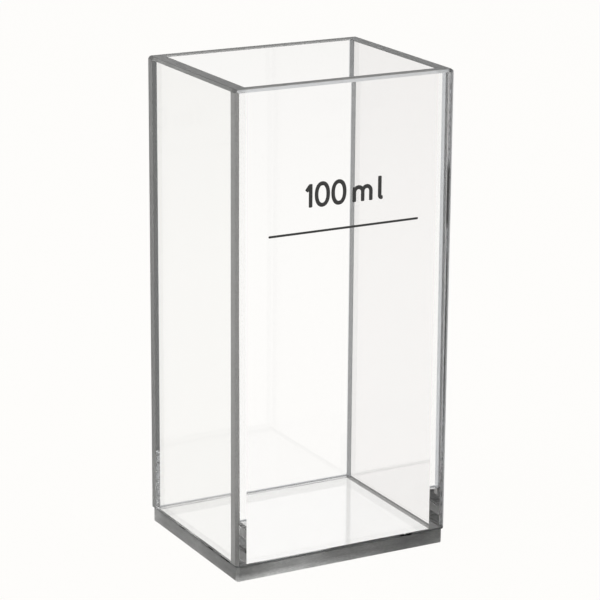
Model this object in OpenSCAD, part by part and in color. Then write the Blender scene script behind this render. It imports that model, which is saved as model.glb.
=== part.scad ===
// Open-topped rectangular glass cuvette, bonded from five flat plates.
// The front and back windows run the full width, the side walls fit between
// them, and all four stand on a base plate that is set in a little all round.
// The origin is under the middle of the base, +Z is up and the marked window
// faces -Y. All sizes are in millimetres.

/* [Vessel] */
// Outer width of the front and back windows
vessel_w = 48.5; // [40:0.5:120]
// Outer depth, from the face of one window to the face of the other
vessel_d = 39.7; // [34:0.1:100]
// Height from the underside to the rim
vessel_h = 100; // [80:1:200]

/* [Glass plates] */
// Thickness of the front and back windows
window_t = 2.4; // [1.5:0.1:4]
// Thickness of the two side walls
side_t = 3; // [1.5:0.1:4]
// Thickness of the base plate
base_t = 3.1; // [1.5:0.1:5]
// How far the walls stand out past the base plate
base_set_in = 0.3; // [0.1:0.1:1]

/* [Ground edges] */
// Bevel down the four upright corners
corner_bevel = 0.6; // [0.2:0.1:1.2]
// Bevel round the outside of the rim
rim_bevel = 0.6; // [0.2:0.1:1.2]
// Bevel round the mouth
mouth_bevel = 0.1; // [0.05:0.05:0.6]
// Bevel at the foot of the walls and round both faces of the base plate
edge_bevel = 0.2; // [0.1:0.1:0.5]

/* [Fill mark] */
// Volume that the fill mark shows, in millilitres
fill_ml = 100; // [30:5:130]
// Length of the fill mark
mark_len = 33.6; // [20:0.2:36]
// Width of the fill mark's line
mark_line = 0.45; // [0.3:0.05:1]
// Distance from the window's middle to the mark's middle, to the right
mark_shift = -0.5; // [-1:0.1:1]
// Thickness of the fired ink
ink_t = 0.04; // [0.02:0.01:0.1]

/* [Hidden] */

inner_w = vessel_w - 2 * side_t;
inner_d = vessel_d - 2 * window_t;
wall_h = vessel_h - base_t;
base_w = vessel_w - 2 * base_set_in;
base_d = vessel_d - 2 * base_set_in;

// The mark stands where the liquid below it has the marked volume.
mm3_per_ml = 1000;
fill_z = base_t + fill_ml * mm3_per_ml / (inner_w * inner_d);

// A rectangle that stands on the X axis, with its lower and its upper corners cut off at 45 degrees
module cut_rectangle(w, h, low, high) {
    polygon([
        [-w / 2 + low, 0], [w / 2 - low, 0], [w / 2, low], [w / 2, h - high],
        [w / 2 - high, h], [-w / 2 + high, h], [-w / 2, h - high], [-w / 2, low]
    ]);
}

// A block on the XY plane whose upright corners, lower edges and upper edges are ground off.
// The bevels run on from side to side, as they do when joined plates are ground together.
module ground_block(w, d, h, corner, low, high) {
    intersection() {
        translate([0, -d / 2, 0]) linear_extrude(h) cut_rectangle(w, d, corner, corner);
        translate([0, d / 2, 0]) rotate([90, 0, 0]) linear_extrude(d) cut_rectangle(w, h, low, high);
        translate([-w / 2, 0, 0]) rotate([90, 0, 90]) linear_extrude(w) cut_rectangle(d, h, low, high);
    }
}

// One half of a tapered plug, wider at the top, that is as long as the given length
module mouth_wedge(w, length) {
    spread = 2 * mouth_bevel;
    translate([0, length / 2, vessel_h - mouth_bevel])
        rotate([90, 0, 0])
            linear_extrude(length)
                polygon([
                    [-w / 2, 0], [w / 2, 0],
                    [w / 2 + spread, spread], [-w / 2 - spread, spread]
                ]);
}

// The space that the bevel round the mouth takes from the walls, mitred at its corners
module mouth_space() {
    intersection() {
        mouth_wedge(inner_w, vessel_d);
        rotate([0, 0, 90]) mouth_wedge(inner_d, vessel_w);
    }
}

// The outer form of the four walls, cut down to the part that lies inside the given child
module wall_form() {
    difference() {
        intersection() {
            translate([0, 0, base_t])
                ground_block(vessel_w, vessel_d, wall_h, corner_bevel, edge_bevel, rim_bevel);
            children();
        }
        mouth_space();
    }
}

// A full-width window, on the front at side = -1 and on the back at side = 1
module window(side) {
    wall_form()
        translate([-vessel_w / 2, side * (vessel_d - window_t) / 2 - window_t / 2, base_t])
            cube([vessel_w, window_t, wall_h]);
}

// A side wall between the windows, on the left at side = -1 and on the right at side = 1
module side_wall(side) {
    wall_form()
        translate([side * (vessel_w - side_t) / 2 - side_t / 2, -inner_d / 2, base_t])
            cube([side_t, inner_d, wall_h]);
}

module front_window() {
    color([0.86, 0.9, 0.9, 0.35]) window(-1);
}

module back_window() {
    color([0.86, 0.9, 0.9, 0.35]) window(1);
}

module left_wall() {
    color([0.8, 0.86, 0.86, 0.45]) side_wall(-1);
}

module right_wall() {
    color([0.8, 0.86, 0.86, 0.45]) side_wall(1);
}

module base_plate() {
    color([0.62, 0.64, 0.64, 0.6])
        ground_block(base_w, base_d, base_t, corner_bevel, edge_bevel, edge_bevel);
}

// A line of fired ink with round ends, on the face of the front window
module fill_line() {
    run = mark_len - mark_line;
    color([0.09, 0.09, 0.09])
        translate([mark_shift, -vessel_d / 2, fill_z])
            rotate([90, 0, 0])
                linear_extrude(ink_t) {
                    square([run, mark_line], center = true);
                    for (end = [-1, 1])
                        translate([end * run / 2, 0]) circle(d = mark_line, $fn = 32);
                }
}

base_plate();
front_window();
back_window();
left_wall();
right_wall();
fill_line();
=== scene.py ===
import math
import bmesh
import bpy
import numpy as np
from mathutils import Matrix, Vector


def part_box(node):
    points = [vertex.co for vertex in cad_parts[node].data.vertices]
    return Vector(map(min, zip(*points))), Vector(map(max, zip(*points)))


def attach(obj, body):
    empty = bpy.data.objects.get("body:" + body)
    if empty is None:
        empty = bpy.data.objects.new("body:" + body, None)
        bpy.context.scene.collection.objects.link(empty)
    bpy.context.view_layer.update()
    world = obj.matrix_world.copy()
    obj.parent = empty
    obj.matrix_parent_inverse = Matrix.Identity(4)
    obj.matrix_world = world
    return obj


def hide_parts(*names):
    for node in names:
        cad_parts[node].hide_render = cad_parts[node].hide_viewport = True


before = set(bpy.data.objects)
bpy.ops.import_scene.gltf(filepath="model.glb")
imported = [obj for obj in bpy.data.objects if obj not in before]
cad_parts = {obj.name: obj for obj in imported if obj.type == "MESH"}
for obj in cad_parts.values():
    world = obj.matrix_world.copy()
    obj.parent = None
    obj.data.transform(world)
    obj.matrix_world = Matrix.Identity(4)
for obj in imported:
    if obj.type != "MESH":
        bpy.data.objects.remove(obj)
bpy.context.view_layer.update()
mm = 0.001
scene = bpy.context.scene


def hexToLinear(code):
    # sRGB hex to the linear values that shaders use, by the standard curve, with full alpha
    srgb = np.array([int(code[i:i + 2], 16) for i in (1, 3, 5)]) / 255
    linear = np.where(srgb <= 0.04045, srgb / 12.92, ((srgb + 0.055) / 1.055) ** 2.4)
    return (*linear.tolist(), 1.0)


def addNode(tree, kind, settings=None, stops=(), **inputs):
    # one node with its settings, the (position, linear colour) stops of a ramp in order, and its
    # inputs as plain values or as sockets to link from. An input is named with _ for a space, or
    # by its number as in0, in1
    node = tree.nodes.new(kind)
    for key, value in (settings or {}).items():
        setattr(node, key, value)
    for i, (position, colour) in enumerate(stops):
        elements = node.color_ramp.elements
        element = elements[i] if i < len(elements) else elements.new(1.0)
        element.position, element.color = position, colour
    for key, value in inputs.items():
        socket = node.inputs[int(key[2:]) if key[:2] == "in" else key.replace("_", " ")]
        if isinstance(value, bpy.types.NodeSocket):
            tree.links.new(value, socket)
        else:
            socket.default_value = value
    return node


def newMaterial(name):
    material = bpy.data.materials.new(name)
    material.use_nodes = True
    material.node_tree.nodes.clear()
    return material, material.node_tree


def newObject(name, data):
    item = bpy.data.objects.new(name, data)
    scene.collection.objects.link(item)
    return item


print("materials")

glassLook = {
    "ior": 1.52,  # crown glass, as optical cells are made from
    "tint": "#ffffff",
    "leftWallShadeTint": "#fafaf9", "rightWallShadeTint": "#f6f5f5",  # the side walls, tinted a little greyer as painted shade, the right one more
    "floorHaze": 0.08,  # roughness of the inner floor, which blurs what it mirrors
    "cementHaze": 0.25,  # and of the uneven cement under the back window
    "groundRoughness": 0.5,
    "gritMm": 0.12,  # real grit is near 0.02 mm, too fine to show, so it is drawn this coarse
    "noiseEnds": (0.3, 0.7),  # noise values of the darkest and the lightest grain
    # flecks of cement in place of grit, and the finishes that have them
    "fleckMm": 0.3, "fleckEnds": (0.42, 0.6), "flecked": ("innerMargin", "margin"),
    "shineless": ("seam", "leftSeam"),  # finishes with no skin that mirrors
    # broad uneven patches on each finish that changes along its plate: how much lighter or darker
    # they get, and how close they lie along x, y and z
    "smudgeMm": 1.2, "smudge": 0.2, "smudgeSpread": (0.3, 0.3, 1),
    "paintedFootLightTo": 1.5,  # painted light: the base plate's sides get lighter from this height down, in mm
    "paintedFootLightEnd": 0.67,  # the share of a side's length from which its last value holds
}

# for each ground finish: its name, its tones from the darkest grain to the lightest, the share of
# the light it lets through, and how close the grain lies along x, y and z
groundLook = {
    # rims, ends and bevels: an even silvery grey
    "edge": ("groundGlassEdge", "#888887", "#a4a4a3", 0.5, (1, 1, 0.3)),
    # sides of the base plate, front and right, back, left: coarser, with the grain lying in long
    # level streaks. Each side has its own tones as painted light and shade: the back lightest,
    # then the left
    "base": ("coarseGroundBaseSideShaded", "#868685", "#a2a2a1", 0.6, (0.2, 0.2, 1)),
    "baseBack": ("groundBaseBackLightAndShade", "#a8aaaa", "#c0c2c2", 1.0, (0.2, 0.2, 1)),
    "baseLeft": ("groundBaseLeftLit", "#9c9c9c", "#bcbcbb", 0.6, (0.2, 0.2, 1)),
    # right end of the back window, painted nearly black as shade because little light is piped to
    # it, its bevel, painted a thin blue-grey line as light, and the right end of the front
    # window,
    # painted a pale one as light: lit and shaded tones of the same ground glass
    "backEnd": ("darkGroundGlassEnd", "#44474a", "#5a5e62", 0.7, (1, 1, 0.3)),
    "fine": ("blueGreyLitGroundGlassEdge", "#a2a6aa", "#bac0c6", 1.0, (1, 1, 0.3)),
    "frontEnd": ("paleGroundGlassEnd", "#b4b6b8", "#ccced0", 0.4, (1, 1, 0.3)),
    # outer bevel of the rim, on the windows and on the left wall: painted lighter than the flat
    # of the rim, as painted light shining through it from behind
    "rim": ("litGroundGlassRim", "#b8bcc0", "#d0d4d8", 1.0, (1, 1, 0.3)),
    "leftRim": ("paleGroundGlassRim", "#acacab", "#ccccca", 0.5, (1, 1, 0.3)),
    # foot of the right wall, and the strip above the foot of the front window and of the left
    # wall:
    # a narrow line painted dark as shade, nearly black along a stretch of the front one, with
    # nearly black dashes at listed places along the left one
    "foot": ("darkGroundGlassFoot", "#404242", "#5a5c5c", 0.2, (0.3, 0.3, 1)),
    "seam": ("paintedShadeSeam", "#5c5e5e", "#747676", 0.2, (0.3, 0.3, 1)),
    "leftSeam": ("patchyShadeSeam", "#8c8c8c", "#a8a8a8", 0.2, (0.3, 0.3, 1)),
    # the strip that the cement leaves dry in a right-hand joint, its inner and outer half at the
    # front and the whole of it at the back: matt and flecked, where the joint itself is clear.
    # The inner half is given pale, the outer half mid grey and the back one dark
    "innerMargin": ("paleJointMargin", "#d4d8dc", "#ffffff", 0.35, (1, 1, 0.4)),
    "margin": ("mattJointMargin", "#787c80", "#e0e3e7", 0.35, (1, 1, 0.4)),
    "backMargin": ("darkJointMargin", "#34373a", "#8a8e91", 0.5, (1, 1, 0.35)),
}

# for each finish that changes along its plate: the axis it changes along, how much lighter its
# foot is at the first and the last place, and the places in mm with their lightness and the share
# of the light let through. Sides and seams change along their length, margins with the height. On
# the sides and seams the lightness along them and the lighter foot are painted light and shade.
toneAlong = {
    # front and right: painted shade towards the right, a painted highlight at the right end, and
    # a foot painted lighter, most at the left
    "base": ("X", 4.4, 1.8, (
        (-24, 0.8, 0.6), (-8, 1, 0.6), (6, 1, 0.6), (15, 0.36, 0.6), (19, 0.36, 0.6),
        (24, 0.6, 0.6))),
    # left: painted shade towards the front, and a foot painted lighter
    "baseLeft": ("Y", 1.25, 1.25, ((-20, 0.55, 0.6), (20, 1, 0.6))),
    # back: painted shade, darker and less clear from -19 to -9 mm and from 11 mm on
    "baseBack": ("X", 1, 1, (
        (-24, 1, 1), (-21.2, 1, 1), (-19, 0.55, 0.3), (-9, 0.45, 0.2), (-5, 1, 1), (7, 1, 1),
        (11, 0.3, 0), (24, 0.28, 0))),
    # front seam: painted shade, nearly black from 13.7 to 16.3 mm
    "seam": ("X", 1, 1, (
        (-24, 1, 0.2), (8, 0.9, 0.2), (13.5, 0.7, 0.2), (13.7, 0.01, 0), (16.3, 0.01, 0),
        (16.5, 0.7, 0.2), (24, 0.7, 0.2))),
    # left seam: darker towards the front as painted shade, with nearly black dashes at listed
    # places
    "leftSeam": ("Y", 1, 1, (
        (-20, 0.6, 0.2), (-17, 0.6, 0.2), (-16.9, 0.01, 0), (-12.9, 0.01, 0), (-12.8, 0.6, 0.2),
        (-9.4, 0.6, 0.2), (-9.3, 0.01, 0), (-7.3, 0.01, 0), (-7.2, 0.7, 0.2), (3.4, 0.85, 0.3),
        (3.6, 0.2, 0), (6, 0.2, 0), (6.4, 0.85, 0.4), (20, 1, 0.6))),
    # both halves of the front margin darker in bands at listed heights
    "innerMargin": ("Z", 1, 1, (
        (0, 1, 1), (60, 1, 1), (62.5, 0.7, 0.6), (67, 0.7, 0.6), (68.5, 0.07, 0.05),
        (79, 0.07, 0.05), (82, 0.8, 0.8), (100, 0.8, 0.8))),
    "margin": ("Z", 1, 1, (
        (0, 0.8, 0.8), (20, 0.8, 0.8), (35, 0.15, 0.1), (50, 0.1, 0.05), (61, 0.1, 0.05),
        (62.5, 0.6, 0.4), (67, 0.6, 0.4), (68.5, 0.07, 0.05), (79, 0.07, 0.05), (82, 1, 0.8),
        (100, 1, 0.8))),
}


def polishedGlass(name, tint, roughness=0.0):
    # polished optical glass: clear and sharp, with bright reflections only at a slant. A little
    # roughness blurs what it mirrors and what shows through it
    material, tree = newMaterial(name)
    skin = addNode(tree, "ShaderNodeBsdfPrincipled", Base_Color=hexToLinear(glassLook[tint]),
                   Roughness=roughness, IOR=glassLook["ior"], Transmission_Weight=1.0)
    addNode(tree, "ShaderNodeOutputMaterial", Surface=skin.outputs[0])
    return material


def groundGlass(kind):
    # the same glass ground matt with fine grit: it scatters the light that the plate pipes to
    # its edge, so it shows as an even silvery grey, lighter where white lies behind it. Seams
    # and margins are as matt, but patchier, the seams painted dark as shade
    name, darkest, lightest, clear, grain = groundLook[kind]
    flecked = kind in glassLook["flecked"]
    grainMm = glassLook["fleckMm" if flecked else "gritMm"]
    low, high = glassLook["fleckEnds" if flecked else "noiseEnds"]
    material, tree = newMaterial(name)
    place = addNode(tree, "ShaderNodeTexCoord").outputs["Object"]
    drawn = addNode(tree, "ShaderNodeMapping", Vector=place, Scale=grain).outputs["Vector"]
    grit = addNode(tree, "ShaderNodeTexNoise", Vector=drawn, Scale=1 / (grainMm * mm),
                   Detail=2.0).outputs["Fac"]
    colour = addNode(tree, "ShaderNodeValToRGB", Fac=grit, stops=(
        (low, hexToLinear(darkest)), (high, hexToLinear(lightest)))).outputs["Color"]
    if kind in toneAlong:
        # the tones times the lightness at each place, times more near the foot, times the
        # smudges. On the sides and seams the first two are painted light and shade
        axis, firstLight, lastLight, places = toneAlong[kind]
        where = addNode(tree, "ShaderNodeSeparateXYZ", Vector=place)
        start, end = places[0][0], places[-1][0]
        along = addNode(tree, "ShaderNodeMapRange", Value=where.outputs[axis],
                        From_Min=start * mm, From_Max=end * mm).outputs[0]
        share = addNode(tree, "ShaderNodeValToRGB", Fac=along, stops=[
            ((at - start) / (end - start), (light, light, light, through))
            for at, light, through in places])
        clear = share.outputs["Alpha"]
        lowDown = addNode(tree, "ShaderNodeMapRange", Value=along,
                          From_Max=glassLook["paintedFootLightEnd"],
                          To_Min=firstLight, To_Max=lastLight).outputs[0]
        down = addNode(tree, "ShaderNodeMapRange", Value=where.outputs["Z"], From_Min=0,
                       From_Max=glassLook["paintedFootLightTo"] * mm, To_Min=lowDown, To_Max=1)
        drawn = addNode(tree, "ShaderNodeMapping", Vector=place, Scale=glassLook["smudgeSpread"])
        smudge = addNode(tree, "ShaderNodeTexNoise", Vector=drawn.outputs["Vector"],
                         Scale=1 / (glassLook["smudgeMm"] * mm), Detail=3.0).outputs["Fac"]
        low, high = glassLook["noiseEnds"]
        uneven = addNode(tree, "ShaderNodeMapRange", Value=smudge, From_Min=low, From_Max=high,
                         To_Min=1 - glassLook["smudge"], To_Max=1 + glassLook["smudge"])
        light = addNode(tree, "ShaderNodeMath", {"operation": "MULTIPLY"},
                        in0=down.outputs[0], in1=uneven.outputs[0]).outputs[0]
        for scale in (light, share.outputs["Color"]):
            colour = addNode(tree, "ShaderNodeVectorMath", {"operation": "MULTIPLY"},
                             in0=colour, in1=scale).outputs[0]
    matt = addNode(tree, "ShaderNodeBsdfPrincipled", Base_Color=colour,
                   Roughness=glassLook["groundRoughness"], IOR=glassLook["ior"],
                   Transmission_Weight=clear,
                   Specular_IOR_Level=0.0 if kind in glassLook["shineless"] else 0.5)
    addNode(tree, "ShaderNodeOutputMaterial", Surface=matt.outputs[0])
    return material


def clearBond():
    # plates joined with clear cement: light passes from one to the next and doesn't bend
    material, tree = newMaterial("clearCementBond")
    addNode(tree, "ShaderNodeOutputMaterial",
            Surface=addNode(tree, "ShaderNodeBsdfTransparent").outputs[0])
    return material


finishes = {
    "clear": polishedGlass("polishedOpticalGlass", "tint"),
    # copies of the same glass, tinted greyer as painted shade
    "left": polishedGlass("shadedLeftWallGlass", "leftWallShadeTint"),
    "right": polishedGlass("shadedRightWallGlass", "rightWallShadeTint"),
    "floor": polishedGlass("faintlyHazedFloorGlass", "tint", glassLook["floorHaze"]),
    "join": clearBond(),
    "hazedJoin": polishedGlass("unevenJointCement", "tint", glassLook["cementHaze"]),
    **{kind: groundGlass(kind) for kind in groundLook},
}
finishNumber = {finish: number for number, finish in enumerate(finishes)}

print("glass plates")

plates = {
    "cornerBevel": 0.6 * mm,
    "rimBevel": 0.6 * mm,
    "mouthBevel": 0.1 * mm,
    "edgeBevel": 0.2 * mm,
    "seam": 0.25 * mm,  # a dark line of painted shade shows up to here above the foot's bevel
    "jointMargin": 0.5 * mm,  # the cement stops this far short of the outer faces
}
samePoint = 1e-6  # corners closer than this, in metres, are merged
noLength = 1e-7  # and edges shorter than this are dropped
hair = 1e-5  # the least width of a joint's margin

frontLow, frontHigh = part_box("front_window")
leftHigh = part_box("left_wall")[1]
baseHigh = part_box("base_plate")[1]
halfW, halfD = frontHigh.x, -frontLow.y
rimZ, footZ = frontHigh.z, baseHigh.z
innerHalfW = -leftHigh.x
innerHalfD = -frontHigh.y
setIn = halfW - baseHigh.x


def stackColumns(columns, z):
    # rings[level, column] from the x and y of each column at each level, and the levels' heights
    return np.stack([np.stack([x, y, z], -1) for x, y in columns], 1)


def ringMesh(name, rings, strips, caps):
    # rings[level, column] are points, each ring one closed loop that turns left when seen from
    # above. Each strip between two rings, and the lower and the upper cap, gets its finish
    levels, columns = rings.shape[:2]
    level, column = np.meshgrid(np.arange(levels - 1), np.arange(columns), indexing="ij")
    following = (column + 1) % columns
    quads = np.stack([level * columns + column, level * columns + following,
                      (level + 1) * columns + following, (level + 1) * columns + column], -1)
    faces = [tuple(quad) for quad in quads.reshape(-1, 4).tolist()]
    faces.append(tuple(range(columns - 1, -1, -1)))
    faces.append(tuple(range((levels - 1) * columns, levels * columns)))
    mesh = bpy.data.meshes.new(name)
    mesh.from_pydata(rings.reshape(-1, 3).tolist(), [], faces)
    numbers = [finishNumber[finish] for finish in [*strips.reshape(-1), *caps]]
    mesh.polygons.foreach_set("material_index", np.array(numbers, np.int32))
    bm = bmesh.new()
    bm.from_mesh(mesh)
    bmesh.ops.remove_doubles(bm, verts=bm.verts, dist=samePoint)
    bmesh.ops.dissolve_degenerate(bm, edges=bm.edges, dist=noLength)
    bm.to_mesh(mesh)
    bm.free()
    for material in finishes.values():
        mesh.materials.append(material)
    return newObject(name, mesh)


def halfTurn(rings, turn):
    # turned half round the vertical axis, for the plate on the far side
    return rings * np.array([-1, -1, 1]) if turn else rings


corner, rim, mouth, edge, seam = (
    plates[part] for part in ("cornerBevel", "rimBevel", "mouthBevel", "edgeBevel", "seam"))
under = setIn + edge  # the walls' underside is bare as far in as this, where the base plate joins
# height, how far the outer faces have moved in, how far the mouth has spread. The strips between
# these levels are 0 and 1 the foot, 2 the seam, 3 the plain height and 4 to 6 the rim's bevels.
# Halfway up the rim's outer bevel the corner bevels have run out
wallLevels = np.array([
    [footZ, under, 0], [footZ, edge, 0], [footZ + edge, 0, 0], [footZ + edge + seam, 0, 0],
    [rimZ - rim, 0, 0], [rimZ - rim + corner / 2, corner / 2, 0],
    [rimZ - mouth, rim - mouth, 0], [rimZ, rim, mouth]])


def window(name, turn):
    # a full-width plate, drawn as the front one and turned for the back one: at each level the
    # outer corners move in by the inset, the corner bevels are what is left of their width, and
    # the inner corners at the mouth move out by its spread
    z, inset, spread = wallLevels.T
    dry = np.maximum(plates["jointMargin"], inset + hair)
    bevel = np.maximum(corner - inset, inset)
    innerY = np.full_like(z, -innerHalfD)
    rings = stackColumns([
        (-halfW + inset, -halfD + bevel), (-halfW + bevel, -halfD + inset),
        (halfW - bevel, -halfD + inset), (halfW - inset, -halfD + bevel),
        (halfW - inset, innerY), (halfW - (inset + dry) / 2, innerY), (halfW - dry, innerY),
        (innerHalfW + spread, innerY), (innerHalfW + spread, innerY - spread),
        (-innerHalfW - spread, innerY - spread), (-innerHalfW - spread, innerY),
        (-halfW + dry, innerY), (-halfW + inset, innerY)], z)
    # columns: 0 and 2 the corner bevels, 1 the outer face, 3 and 12 the ends, 4 to 6, 10 and 11
    # where the side walls meet it, 7 to 9 the inner face with the mouth's bevel at its sides
    strips = np.full((len(z) - 1, rings.shape[1]), "edge", object)
    strips[:2 if turn else 3] = "fine" if turn else "seam"  # the front one's foot and seam painted dark as shade, the back one's foot blue-grey as painted light
    strips[2 if turn else 3:4, 1] = "clear"
    strips[4:6, 1] = "rim"
    strips[:, [4, 5, 6, 10, 11]] = "join"
    strips[:-1, 8] = "clear"
    if turn:  # only the right-hand joints have a matt margin
        strips[:, 11] = "backMargin"
        # its right end painted nearly black as shade, the bevel beside it blue-grey as painted
        # light
        strips[2:, 12] = "backEnd"
        strips[2:, 0] = "fine"
    else:
        strips[:, 4] = "margin"
        strips[:, 5] = "innerMargin"
        # its right end and the bevel beside it painted pale as light
        strips[3:, [2, 3]] = "frontEnd"
    return ringMesh(name, halfTurn(rings, turn), strips,
                    ("hazedJoin" if turn else "join", "edge"))


def sideWall(name, turn):
    # a plate between the windows, drawn as the left one and turned for the right one: at each
    # level its outer face moves in by the inset and its inner face out by the mouth's spread
    z, inset, spread = wallLevels.T
    depth = np.full_like(z, innerHalfD)
    rings = stackColumns([
        (-halfW + inset, -depth), (-innerHalfW - spread, -depth),
        (-innerHalfW - spread, depth), (-halfW + inset, depth)], z)
    # columns: 0 and 2 where the windows meet it, 1 the inner face, 3 the outer face
    strips = np.full((len(z) - 1, rings.shape[1]), "edge", object)
    strips[:2 if turn else 3] = "foot" if turn else "leftSeam"  # the right one's foot, and the left one's foot and seam, painted dark as shade
    strips[:, [0, 2]] = "join"
    strips[:-1, 1] = "right" if turn else "left"
    strips[2 if turn else 3:4, 3] = "right" if turn else "left"
    if not turn:
        strips[4:6, 3] = "leftRim"
    return ringMesh(name, halfTurn(rings, turn), strips, ("join", "edge"))


def basePlate(name):
    # rings up the side whose eight corners move in by each level's inset, then one more ring in
    # across the top, at the edge of the inner floor
    z, inset = np.array([[0, edge], [edge, 0], [footZ - edge, 0], [footZ, edge]]).T
    halfX, halfY = baseHigh.x, baseHigh.y
    bevel = np.maximum(corner - inset, inset)
    rings = stackColumns([
        (-halfX + inset, -halfY + bevel), (-halfX + bevel, -halfY + inset),
        (halfX - bevel, -halfY + inset), (halfX - inset, -halfY + bevel),
        (halfX - inset, halfY - bevel), (halfX - bevel, halfY - inset),
        (-halfX + bevel, halfY - inset), (-halfX + inset, halfY - bevel)], z)
    floorRing = np.sign(rings[-1:]) * [innerHalfW, innerHalfD, footZ]
    rings = np.concatenate([rings, floorRing])
    # columns: 1 the front, 3 the right, 5 the back, 7 the left, and the bevels between them
    strips = np.full((len(rings) - 1, rings.shape[1]), "base", object)
    strips[:, 5] = "baseBack"
    strips[:, [6, 7]] = "baseLeft"
    strips[-1] = "join"
    return ringMesh(name, rings, strips, ("clear", "floor"))


pieces = {
    "front_window": (window("frontWindow", False), "window_glass"),
    "back_window": (window("backWindow", True), "window_glass"),
    "left_wall": (sideWall("leftWall", False), "wall_glass"),
    "right_wall": (sideWall("rightWall", True), "wall_glass"),
    "base_plate": (basePlate("basePlate"), "base_glass")}
for node, (piece, slotName) in pieces.items():
    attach(piece, "root")
    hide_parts(node)

print("fill mark")

inkLook = {
    "colour": "#1c1c1b",
    "skinMm": 0.12,  # size of the skin's grain
    "skin": (0.4, 0.6),  # roughness of its smoothest and its roughest grain
    "mirrorFaces": 5.5,  # a mirrored image seen through fewer glass faces than this is left out
    "stroke": 0.82 * mm,
    "high": 0.04 * mm,  # as thick as the line
    "foot": 75.42 * mm,  # height of the figures' foot
    "endMm": 0.16,  # how far a stroke's end rounds off
    "endPower": 0.7, "endWidth": 0.02,  # how full that rounding is, and how narrow it gets
    "endSteps": 7,
    "across": (-1, -0.94, -0.7, 0, 0.7, 0.94, 1),  # places across a stroke, 1 at its side
    "domePower": 6,  # a high power gives a flat top and steep sides
}


def firedInk():
    # black enamel fired on to glass: dense, with a low satin shine and a faintly grainy skin
    material, tree = newMaterial("firedBlackEnamel")
    place = addNode(tree, "ShaderNodeTexCoord").outputs["Object"]
    grain = addNode(tree, "ShaderNodeTexNoise", Vector=place, Scale=1 / (inkLook["skinMm"] * mm),
                    Detail=2.0).outputs["Fac"]
    smoothest, roughest = inkLook["skin"]
    skin = addNode(tree, "ShaderNodeMapRange", Value=grain, To_Min=smoothest, To_Max=roughest)
    # the image of the mark that a far plate mirrors once is too faint to see, so it isn't drawn:
    # mirrored compares the count of reflections with 1, to within a half
    path = addNode(tree, "ShaderNodeLightPath")
    mirrored = addNode(tree, "ShaderNodeMath", {"operation": "COMPARE"},
                       in0=path.outputs["Glossy Depth"], in1=1, in2=0.5)
    beyond = addNode(tree, "ShaderNodeMath", {"operation": "LESS_THAN"},
                     in0=path.outputs["Transmission Depth"], in1=inkLook["mirrorFaces"])
    hidden = addNode(tree, "ShaderNodeMath", {"operation": "MULTIPLY"},
                     in0=mirrored.outputs[0], in1=beyond.outputs[0])
    shown = addNode(tree, "ShaderNodeMath", {"operation": "SUBTRACT"},
                    in0=1, in1=hidden.outputs[0])
    enamel = addNode(tree, "ShaderNodeBsdfPrincipled", Base_Color=hexToLinear(inkLook["colour"]),
                     Roughness=skin.outputs["Result"], Alpha=shown.outputs[0])
    addNode(tree, "ShaderNodeOutputMaterial", Surface=enamel.outputs[0])
    return material


def arc(x, z, rx, rz, start, stop, count=33, power=2.0):
    # points on a superellipse: cos and sin of the turn, each raised to 2 / power, times the radii
    turn = np.radians(np.linspace(start, stop, count))
    cos, sin = np.cos(turn), np.sin(turn)
    return np.stack([x + rx * np.sign(cos) * np.abs(cos) ** (2 / power),
                     z + rz * np.sign(sin) * np.abs(sin) ** (2 / power)], -1)


def inkStroke(path, closed):
    # a low dome carried along a path in mm (x across, z up from the foot): across the stroke its
    # height is 1 - |side| ^ 6, and at a free end its width falls off as a quarter round
    path = np.asarray(path, float)
    if closed:
        path = path[:-1]
        along = np.roll(path, -1, 0) - np.roll(path, 1, 0)
        width = np.ones(len(path))
    else:
        turn = np.radians(np.linspace(0, 90, inkLook["endSteps"]))
        first, last = path[1] - path[0], path[-1] - path[-2]
        first, last = first / np.linalg.norm(first), last / np.linalg.norm(last)
        reach = inkLook["endMm"] * (1 - np.cos(turn))
        narrow = np.sin(turn) ** inkLook["endPower"]
        width = np.concatenate([narrow, np.ones(len(path) - 2), narrow[::-1]])
        width = np.maximum(width, inkLook["endWidth"])
        path = np.concatenate([path[0] + np.outer(reach, first), path[1:-1],
                               path[-1] - np.outer(reach, last)[::-1]])
        along = np.gradient(path, axis=0)
    along = along / np.linalg.norm(along, axis=1, keepdims=True)
    sideways = np.stack([along[:, 1], -along[:, 0]], -1) * width[:, None]
    side = np.array(inkLook["across"])
    height = np.ones((len(path), 1)) * (1 - np.abs(side) ** inkLook["domePower"])
    flat = (path[:, None] * mm
            + sideways[:, None] * (side * inkLook["stroke"] / 2)[None, :, None])
    return np.stack([flat[..., 0], -halfD - inkLook["high"] * height,
                     flat[..., 1] + inkLook["foot"]], -1)


def ribbonFaces(rows, columns, closed, first):
    # quads over a grid of rows and columns whose first point is numbered first: a closed ribbon
    # joins its last row to its first, and an open one gets a face at each end
    row, column = np.meshgrid(np.arange(rows if closed else rows - 1), np.arange(columns),
                              indexing="ij")
    nextRow, nextColumn = (row + 1) % rows, (column + 1) % columns
    quads = first + np.stack([row * columns + column, row * columns + nextColumn,
                              nextRow * columns + nextColumn, nextRow * columns + column], -1)
    faces = [tuple(quad) for quad in quads.reshape(-1, 4).tolist()]
    if not closed:
        last = first + (rows - 1) * columns
        faces.append(tuple(range(first + columns - 1, first - 1, -1)))
        faces.append(tuple(range(last, last + columns)))
    return faces


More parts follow.
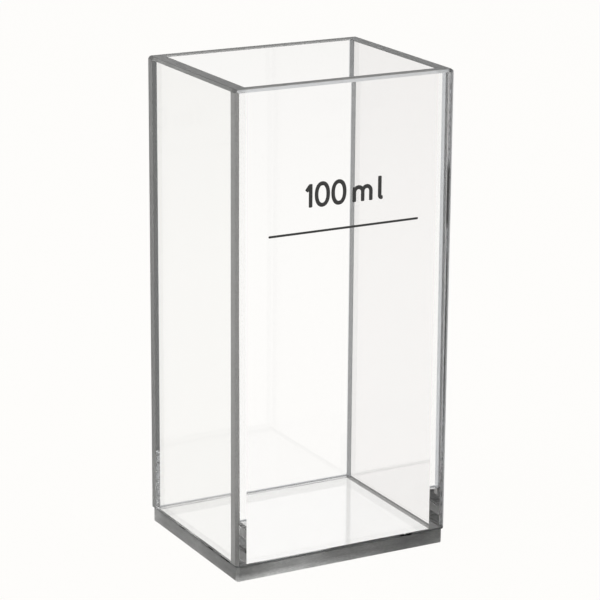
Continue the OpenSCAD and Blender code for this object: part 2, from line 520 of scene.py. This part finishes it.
# the figure 1 in two strokes, the two noughts, the letter m in three strokes and the letter l:
# each path in mm, and whether it closes on itself
strokes = [
    ([(-8.06, 4.72), (-8.06, 0)], False),
    ([(-9.01, 3.28), (-8.12, 4.42)], False),
    (arc(-5.46, 2.44, 1.29, 2.15, 0, 360, 97, 2.2), True),
    (arc(-1.78, 2.44, 1.29, 2.15, 0, 360, 97, 2.2), True),
    ([(1.68, 3.02), (1.68, 0)], False),
    ([*arc(2.63, 1.95, 0.94, 0.97, 180, 0), (3.57, 0)], False),
    ([*arc(4.49, 1.95, 0.92, 1.0, 180, 0), (5.41, 0)], False),
    ([(7.42, 4.72), *arc(7.82, 0.75, 0.40, 0.41, 180, 270, 9), (8.12, 0.36)], False),
]
points, faces = [], []
for path, closed in strokes:
    dome = inkStroke(path, closed)
    faces += ribbonFaces(*dome.shape[:2], closed, len(points))
    points += dome.reshape(-1, 3).tolist()
mesh = bpy.data.meshes.new("volumeFigures")
mesh.from_pydata(points, [], faces)
bm = bmesh.new()
bm.from_mesh(mesh)
bmesh.ops.recalc_face_normals(bm, faces=bm.faces)
bm.to_mesh(mesh)
bm.free()
ink = firedInk()
mesh.materials.append(ink)
volumeFigures = newObject("volumeFigures", mesh)
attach(volumeFigures, "root")

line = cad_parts["fill_line"]
for materialSlot in line.material_slots:
    materialSlot.material = ink

print("floor, light and camera")

stageLook = {
    "floorZ": -0.05 * mm,  # just under the vessel's foot
    "floorHalf": 6.0,  # from its middle to its sides, in metres
    "floorColour": "#f6f6f5",
    "white": "#fffefc",  # what the floor shows where it is seen directly
    "lift": 0.98,  # how much of that it shows, the rest being its lit colour
    "dimFrom": 0.2, "dimTo": 0.55, "dim": 0.95,  # painted shade: seen in glass, the white gets dimmer over these metres
    "pipedDepth": 10, "pipedTone": "#404242",  # light piped past this many faces is lost
    "lampEnergy": 14.0, "lampSize": 1.2, "lampPlace": (-0.9, -0.1, 1.3),
    "fillEnergy": 12.0, "fillSize": 1.0, "fillPlace": (1.3, -1.1, 0.4),
    "lampAim": (0, 0, 0.05),
    # the room that the glass mirrors and shows: white up to the horizon and room tone above it,
    # but white higher up on the side that the camera faces. Heights are parts of a unit sphere,
    # and the cove shows fully where the direction's share along coveWay reaches coveFull
    "horizon": 0.12, "dark": 0.16, "cove": 0.44, "coveTop": 0.5, "room": 0.05,
    "coveWay": (0.476, 0.879, 0), "coveFrom": 0.8, "coveFull": 0.9,
    "bounces": 32,  # enough for light that is piped along a plate
}


def whitePaper():
    # matt white paper: no shine, and a faint shadow round the foot
    material, tree = newMaterial("matWhitePaper")
    path = addNode(tree, "ShaderNodeLightPath")
    piped = addNode(tree, "ShaderNodeMath", {"operation": "GREATER_THAN"},
                    in0=path.outputs["Ray Depth"], in1=stageLook["pipedDepth"])
    # seen by the camera itself, or in glass by looking through it or by what it mirrors
    seen = path.outputs["Is Camera Ray"]
    for kind in ("Is Transmission Ray", "Is Glossy Ray"):
        seen = addNode(tree, "ShaderNodeMath", {"operation": "MAXIMUM"},
                       in0=seen, in1=path.outputs[kind]).outputs[0]
    share = addNode(tree, "ShaderNodeMath", {"operation": "MULTIPLY"},
                    in0=seen, in1=stageLook["lift"])
    place = addNode(tree, "ShaderNodeTexCoord").outputs["Object"]
    # painted shade: the white that the glass shows dims away from the middle
    away = addNode(tree, "ShaderNodeVectorMath", {"operation": "LENGTH"}, in0=place)
    dimmed = addNode(tree, "ShaderNodeMapRange", Value=away.outputs["Value"],
                     From_Min=stageLook["dimFrom"], From_Max=stageLook["dimTo"],
                     To_Min=1, To_Max=stageLook["dim"])
    strength = addNode(tree, "ShaderNodeMath", {"operation": "MAXIMUM"},
                       in0=dimmed.outputs[0], in1=path.outputs["Is Camera Ray"])
    lit = addNode(tree, "ShaderNodeBsdfDiffuse", Color=hexToLinear(stageLook["floorColour"]))
    white = addNode(tree, "ShaderNodeEmission", Color=hexToLinear(stageLook["white"]),
                    Strength=strength.outputs[0])
    sheet = addNode(tree, "ShaderNodeMixShader", in0=share.outputs[0],
                    in1=lit.outputs[0], in2=white.outputs[0])
    lost = addNode(tree, "ShaderNodeEmission", Color=hexToLinear(stageLook["pipedTone"]),
                   Strength=1.0)
    paper = addNode(tree, "ShaderNodeMixShader", in0=piped.outputs[0],
                    in1=sheet.outputs[0], in2=lost.outputs[0])
    addNode(tree, "ShaderNodeOutputMaterial", Surface=paper.outputs[0])
    return material


half, floorZ = stageLook["floorHalf"], stageLook["floorZ"]
floorMesh = bpy.data.meshes.new("floor")
floorMesh.from_pydata([(-half, -half, floorZ), (half, -half, floorZ), (half, half, floorZ),
                       (-half, half, floorZ)], [], [(0, 1, 2, 3)])
floorMesh.materials.append(whitePaper())
floor = newObject("floor", floorMesh)

world = bpy.data.worlds.new("studio")
scene.world = world
world.use_nodes = True
tree = world.node_tree
tree.nodes.clear()
direction = addNode(tree, "ShaderNodeTexCoord").outputs["Generated"]
upward = addNode(tree, "ShaderNodeSeparateXYZ", Vector=direction).outputs["Z"]
towardsCove = addNode(tree, "ShaderNodeVectorMath", {"operation": "DOT_PRODUCT"},
                   in0=direction, in1=stageLook["coveWay"]).outputs["Value"]
white, roomTone = (1, 1, 1, 1), (stageLook["room"],) * 3 + (1,)
bench = addNode(tree, "ShaderNodeValToRGB", Fac=upward, stops=(
    (stageLook["horizon"], white), (stageLook["dark"], roomTone)))
cove = addNode(tree, "ShaderNodeValToRGB", Fac=upward, stops=(
    (stageLook["cove"], white), (stageLook["coveTop"], roomTone)))
facing = addNode(tree, "ShaderNodeMapRange", {"interpolation_type": "SMOOTHSTEP"},
                 Value=towardsCove, From_Min=stageLook["coveFrom"],
                 From_Max=stageLook["coveFull"]).outputs["Result"]
sky = addNode(tree, "ShaderNodeMix", {"data_type": "RGBA"}, in0=facing,
              in6=bench.outputs["Color"], in7=cove.outputs["Color"])
room = addNode(tree, "ShaderNodeBackground", Color=sky.outputs[2], Strength=1.0)
backdrop = addNode(tree, "ShaderNodeBackground", Color=white, Strength=1.0)
shown = addNode(tree, "ShaderNodeMixShader",
                in0=addNode(tree, "ShaderNodeLightPath").outputs["Is Camera Ray"],
                in1=room.outputs[0], in2=backdrop.outputs[0])
addNode(tree, "ShaderNodeOutputWorld", Surface=shown.outputs[0])

for kind in ("lamp", "fill"):
    lampData = bpy.data.lights.new(kind, "AREA")
    lampData.size = stageLook[kind + "Size"]
    lampData.energy = stageLook[kind + "Energy"]
    lamp = newObject(kind, lampData)
    lamp.location = stageLook[kind + "Place"]
    lamp.rotation_mode = "QUATERNION"
    lamp.rotation_quaternion = (
        Vector(stageLook[kind + "Place"]) - Vector(stageLook["lampAim"])).to_track_quat("Z", "Y")

view = {
    "place": (-245.45, -454.18, 200.45),  # in mm
    "heading": 28.436, "tilt": 16.192, "roll": -0.401,  # degrees right of +Y, down and round
    "lens": 157.57, "sensor": 36,  # in mm
    "nearest": 0.01,  # in metres
}
heading, tilt, roll = (math.radians(view[turn]) for turn in ("heading", "tilt", "roll"))
forward = Vector((math.sin(heading) * math.cos(tilt), math.cos(heading) * math.cos(tilt),
                  -math.sin(tilt)))
right = Vector((math.cos(heading), -math.sin(heading), 0))
down = forward.cross(right)
right, down = (math.cos(roll) * right + math.sin(roll) * down,
               math.cos(roll) * down - math.sin(roll) * right)
camData = bpy.data.cameras.new("camera")
camData.sensor_width = view["sensor"]
camData.lens = view["lens"]
camData.clip_start = view["nearest"]
cam = newObject("camera", camData)
cam.matrix_world = Matrix.Translation(Vector(view["place"]) * mm) @ Matrix(
    [[right.x, -down.x, -forward.x], [right.y, -down.y, -forward.y],
     [right.z, -down.z, -forward.z]]).to_4x4()
scene.camera = cam
scene.view_settings.view_transform = "Standard"
for kind in ("max_bounces", "glossy_bounces", "transmission_bounces", "transparent_max_bounces"):
    setattr(scene.cycles, kind, stageLook["bounces"])
